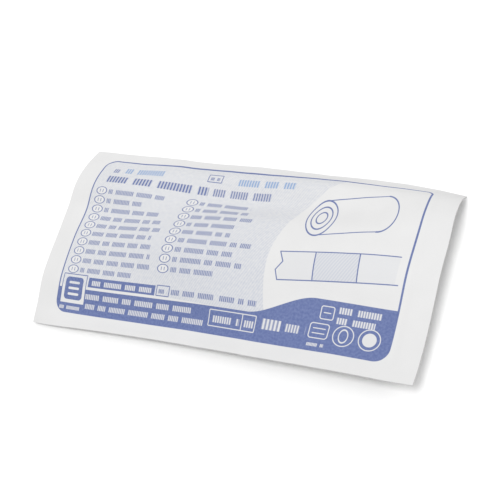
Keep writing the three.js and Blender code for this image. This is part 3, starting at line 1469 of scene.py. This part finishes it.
    def drawing(self, at: Spot) -> Signal:
        """Draw the line figure: a rolled bandage seen from its end above an open strip with its pad.

        Args:
            at: The place on the sheet.

        Returns:
            The lines' mask.
        """
        end, line = self.roll_end, self.drawn_line
        run_s, run_t = self.roll_run
        far_end = end._replace(s=end.s + run_s, t=end.t + run_t)
        starts = [end.t + side for side in (-end.radius_t, end.radius_t)]
        sides = [Stroke(end.s, start, far_end.s, start + run_t) for start in starts]
        turns = (end._replace(radius_s=end.radius_s * share, radius_t=end.radius_t * share).drawn(at, line)[1]
                 for share in self.roll_turns)
        back = far_end.drawn(at, line)[1] * (at.s - far_end.s).above(0)
        strokes = chain(sides, self.strip_edges, self.strip_end, self.pad_edges)
        return merged(chain(turns, [back], (stroke.drawn(at, line) for stroke in strokes)))

    def strip_screen(self, at: Spot) -> Signal:
        """Tint the strip of the line figure, with its pad darker than the rest.

        Args:
            at: The place on the sheet.

        Returns:
            How strongly the strip is tinted.
        """
        upper, lower = self.strip_edges
        slope = (upper.to_t - upper.t) / (upper.to_s - upper.s)
        level = at.t - (at.s - upper.s) * slope - upper.t
        depth = upper.t - lower.t + (lower.s - upper.s) * slope
        on_strip = level.below(0) * level.above(-depth) * at.s.above(upper.s + 1) * at.s.below(upper.to_s)
        left, right = (edge.s + self.pad_lean for edge in self.pad_edges)
        pad = at.s.above(left) * at.s.below(right) * (self.screen_lines(at) * self.pad_lines + self.pad_tint)
        return on_strip * (pad + self.strip_tint)


# The pieces


@dataclass
class Sachet:
    """The two bonded sheets of the sachet."""

    form: SachetForm = field(default_factory=SachetForm)
    printed: PrintedPaper = field(default_factory=PrintedPaper)
    plain: Fibrous = PLAIN_PAPER
    under_front: str = "rolled_bandage"
    front: np.ndarray = field(init=False)
    back: np.ndarray = field(init=False)

    def __post_init__(self) -> None:
        """Place the outer faces of both sheets."""
        self.front = self.form.front_face()
        self.back = self.form.back_face(self.front)

    def build(self) -> list[bpy.types.Object]:
        """Make both sheets in place of their plain solids.

        Returns:
            The front sheet and the back sheet.
        """
        form = self.form
        flat = (form.length, form.width)
        plain = self.plain.material()
        front_shell = Shell("front_web", self.front, raised(self.front, -form.paper), flat)
        back_shell = Shell("back_web", raised(self.back, form.paper), self.back, flat)
        front_web = front_shell.build((self.printed.material(), plain))
        back_web = back_shell.build((plain,))
        for piece, node, slot, under in (
            (front_web, "front_sheet", self.printed.name, [self.under_front]),
            (back_web, "back_sheet", self.plain.name, []),
        ):
            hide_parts(node)
            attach(piece, BODY)
        return [front_web, back_web]

    def hollow(self) -> Hollow:
        """Give the room that the sheets leave for the contents.

        Returns:
            The room, inside walls as thick as the plain solids have.
        """
        form = self.form
        floor, roof = raised(self.back, form.wall), raised(self.front, -form.wall)
        return Hollow(floor, roof, (form.length, form.width))


@dataclass
class Filling(ABC):
    """A soft body that lies pressed in the sachet, in millimetres."""

    name: str
    node: str
    slot: str
    length: float
    width: float
    thickness: float
    seat: float
    roundness: float
    fill: float
    around: int = 144
    along: int = 60
    softness: float = 0.08
    least_height: float = 0.01

    def layer(self, depth: np.ndarray) -> tuple[np.ndarray, np.ndarray]:
        """Give the lowest and the highest level where the hollow has a depth."""
        return np.full_like(depth, self.seat), np.full_like(depth, self.seat + self.thickness)

    @abstractmethod
    def sections(self) -> list[tuple[float, float]]:
        """List each ring's distance from the middle and how far it is drawn in."""

    @abstractmethod
    def drawn_in(self, loop: np.ndarray) -> np.ndarray:
        """Say how far each point round the section is drawn in."""

    def with_ends(self, ends: list[tuple[float, float]], reach: float) -> list[tuple[float, float]]:
        """List the rings of a body with two like ends.

        Args:
            ends: The rings of one end, outwards from the body.
            reach: How far the body goes from the middle.

        Returns:
            Each ring's distance from the middle and how far it is drawn in.
        """
        body = np.linspace(-1, 1, self.along + 1)[1:-1] * reach
        return [(-place, inset) for place, inset in reversed(ends)] + [(place, 0) for place in body] + ends

    def build(self, hollow: Hollow, material: bpy.types.Material) -> bpy.types.Object:
        """Make the body in place of its plain solid.

        Args:
            hollow: The room between the sheets.
            material: The body's material.

        Returns:
            The piece.
        """
        half_width, half_height = self.width / 2, self.thickness / 2
        loop = even_loop(self.roundness, half_width, half_height, self.around)
        rings = []
        for place, inset in self.sections():
            inward = inset + self.drawn_in(loop)
            crosswise = loop[:, 0] * (half_width - inward)
            height = loop[:, 1] * np.maximum(1 - inward / half_height, self.least_height)
            s = np.full(self.around, hollow.flat_size[0] / 2 + place)
            t = hollow.flat_size[1] / 2 + crosswise
            floor, roof = hollow.at(s, t)
            depth = np.linalg.norm(roof - floor, axis=-1)
            low, high = self.layer(depth)
            soft = 1 - self.softness * (1 + soft_waves(s, t, seed=7, wavelengths=(6, 18), count=8)) / 2
            level = (low + high) / 2 + (high - low) / 2 * height * soft
            rings.append(floor + (roof - floor) * (level / depth)[:, None])
        piece = Tube(self.name, np.array(rings)).build(material)
        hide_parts(self.node)
        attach(piece, BODY)
        return piece


@dataclass
class WoundPad(Filling):
    """The compress, folded flat on the back sheet, with its plies showing along its sides."""

    name: str = "compress_pad"
    node: str = "wound_pad"
    slot: str = "compress"
    length: float = 80
    width: float = 50
    thickness: float = 3
    seat: float = 0.3
    roundness: float = 6
    fill: float = 0.4
    around: int = 320
    edge: float = 1.1
    edge_rings: int = 5
    plies: int = 4
    ply_groove: float = 0.45
    ply_sides: tuple[float, float] = (0.93, 0.99)
    ply_height: float = 0.9

    def sections(self) -> list[tuple[float, float]]:
        """List the rings, with rounded ends.

        Returns:
            Each ring's distance from the middle and how far it is drawn in.
        """
        turn = np.linspace(0, math.pi / 2, self.edge_rings, endpoint=False)
        reach = self.length / 2 - self.edge
        ends = list(zip(reach + self.edge * np.sin(turn), self.edge * (1 - np.cos(turn))))
        return self.with_ends(ends, reach)

    def drawn_in(self, loop: np.ndarray) -> np.ndarray:
        """Groove the sides between the plies.

        Args:
            loop: The section's points, as shares of its half width and half height.

        Returns:
            How far each point is drawn in.
        """
        sides = smooth_step(np.abs(loop[:, 0]), *self.ply_sides)
        grooves = 1 - np.abs(np.sin(math.pi * self.plies * (loop[:, 1] + 1) / 2)) ** 0.5
        return self.ply_groove * sides * grooves * (np.abs(loop[:, 1]) < self.ply_height)


@dataclass
class BandageRoll(Filling):
    """The bandage, rolled and pressed flat on the compress, with its turns showing at both ends."""

    name: str = "rolled_bandage"
    node: str = "bandage_roll"
    slot: str = "gauze"
    length: float = 80
    width: float = 44
    thickness: float = 9
    seat: float = 3.6
    roundness: float = 2.4
    fill: float = 0.5
    roof_gap: float = 0.6
    turns: int = 9
    turn_relief: float = 0.5
    turns_depth: float = 0.96
    cloth: float = 0.35
    free_end: float = 0.2

    def layer(self, depth: np.ndarray) -> tuple[np.ndarray, np.ndarray]:
        """Give the lowest and the highest level, right up to the front sheet."""
        return np.full_like(depth, self.seat), depth - self.roof_gap

    def sections(self) -> list[tuple[float, float]]:
        """List the rings, with each end's turns by turns proud and sunk.

        Returns:
            Each ring's distance from the middle and how far it is drawn in.
        """
        steps = np.arange(2 * self.turns + 1)
        insets = steps * self.thickness / 2 / steps[-1] * self.turns_depth
        ends = list(zip(self.length / 2 - self.turn_relief * (steps % 2), insets))
        return self.with_ends(ends, self.length / 2 - self.turn_relief * 2)

    def drawn_in(self, loop: np.ndarray) -> np.ndarray:
        """Wind the outermost turn so that its free end stands a cloth's thickness proud."""
        return self.cloth * ((np.arange(len(loop)) / len(loop) - self.free_end) % 1)


@dataclass
class Contents:
    """The compress and the rolled bandage inside."""

    pad: WoundPad = field(default_factory=WoundPad)
    roll: BandageRoll = field(default_factory=BandageRoll)
    compress: Fibrous = COMPRESS
    gauze: Gauze = field(default_factory=Gauze)

    def build(self, hollow: Hollow) -> list[bpy.types.Object]:
        """Make both soft bodies in the sachet's hollow."""
        pad = self.pad.build(hollow, self.compress.material())
        return [pad, self.roll.build(hollow, self.gauze.material())]


# Floor, light and camera


class Lamp(NamedTuple):
    """A distant soft lamp: its strength, its apparent width and where it stands, in degrees."""

    name: str
    energy: float
    width: float
    azimuth: float
    elevation: float


def heading(azimuth: float, elevation: float) -> Vector:
    """Give the direction at an azimuth, from +X towards +Y, and an elevation, in degrees.

    Args:
        azimuth: The azimuth.
        elevation: The elevation.

    Returns:
        The direction, with length 1.
    """
    turn, lift = math.radians(azimuth), math.radians(elevation)
    return Vector((math.cos(turn) * math.cos(lift), math.sin(turn) * math.cos(lift), math.sin(lift)))


@dataclass(frozen=True)
class Studio:
    """A white table under soft even light, and the camera."""

    table_half: float = 6
    table_white: Colour = (0.986, 0.986, 0.986)
    table_cast: Colour = (0.7, 0.7, 0.7)
    table_gloss: tuple[float, float] = (0.9, 0.1)
    sky: float = 0.459
    backdrop: float = 1.0
    lamps: tuple[Lamp, ...] = (
        Lamp(name="key", energy=1.52, width=24, azimuth=-90, elevation=72),
        Lamp(name="far_fill", energy=0.62, width=30, azimuth=90, elevation=45),
        Lamp(name="right_fill", energy=0.67, width=30, azimuth=0, elevation=45),
    )
    camera_mm: tuple[float, float, float] = (142.96, -132.47, 223.74)
    camera_azimuth: float = -44.91
    camera_elevation: float = 48.49
    camera_roll: float = -31.14
    focal_share: float = 1.5
    sensor: float = 36
    clip_start: float = 0.01

    def build_table(self) -> None:
        """Lay the white table under the sachet."""
        mesh = bpy.data.meshes.new("table")
        half = self.table_half
        corners = [(-half, -half, 0), (half, -half, 0), (half, half, 0), (-half, half, 0)]
        mesh.from_pydata(corners, [], [(0, 1, 2, 3)])
        out = Tree("table_white")
        seen = Signal(out.tree, out.nodes.new("ShaderNodeLightPath").outputs["Is Camera Ray"])
        out.coat(out.mix(seen, self.table_cast, self.table_white), *self.table_gloss)
        mesh.materials.append(out.material)
        new_object("table", mesh)

    def surround(self) -> None:
        """Set the even sky, and the plain white backdrop that the camera sees in its place."""
        world = bpy.data.worlds.new("studio")
        world.use_nodes = True
        nodes, links = world.node_tree.nodes, world.node_tree.links
        sky, seen = nodes["Background"], nodes.new("ShaderNodeBackground")
        for background, strength in ((sky, self.sky), (seen, self.backdrop)):
            background.inputs["Color"].default_value = (1, 1, 1, 1)
            background.inputs["Strength"].default_value = strength
        either = nodes.new("ShaderNodeMixShader")
        links.new(nodes.new("ShaderNodeLightPath").outputs["Is Camera Ray"], either.inputs[0])
        links.new(sky.outputs[0], either.inputs[1])
        links.new(seen.outputs[0], either.inputs[2])
        links.new(either.outputs[0], nodes["World Output"].inputs["Surface"])
        bpy.context.scene.world = world
        bpy.context.scene.view_settings.view_transform = "Standard"

    def light(self) -> None:
        """Hang the soft lamps."""
        for lamp in self.lamps:
            source = bpy.data.lights.new(lamp.name, "SUN")
            source.energy = lamp.energy
            source.angle = math.radians(lamp.width)
            turn = heading(lamp.azimuth, lamp.elevation).to_track_quat("Z", "Y")
            new_object(lamp.name, source).matrix_world = turn.to_matrix().to_4x4()

    def aim_camera(self) -> None:
        """Place the camera at the photograph's angle, with its roll."""
        back = heading(self.camera_azimuth, self.camera_elevation)
        level = Vector((0, 0, 1)).cross(back).normalized()
        roll = math.radians(self.camera_roll)
        right = level * math.cos(roll) + back.cross(level) * math.sin(roll)
        lens = bpy.data.cameras.new("camera")
        lens.sensor_width = self.sensor
        lens.lens = self.focal_share * self.sensor
        lens.clip_start = self.clip_start
        camera = new_object("camera", lens)
        turn = Matrix((right, back.cross(right), back)).transposed().to_4x4()
        camera.matrix_world = Matrix.Translation(Vector(self.camera_mm) * MM) @ turn
        bpy.context.scene.camera = camera


def main() -> None:
    """Build the sachet, its contents and the studio, in order."""
    logging.basicConfig(level=logging.INFO, format="%(name)s: %(message)s")
    sachet = Sachet()
    for piece in (*sachet.build(), *Contents().build(sachet.hollow())):
        LOG.info("built %s with %d faces", piece.name, len(piece.data.polygons))
    studio = Studio()
    studio.build_table()
    studio.surround()
    studio.light()
    studio.aim_camera()


if __name__ == "__main__":
    main()
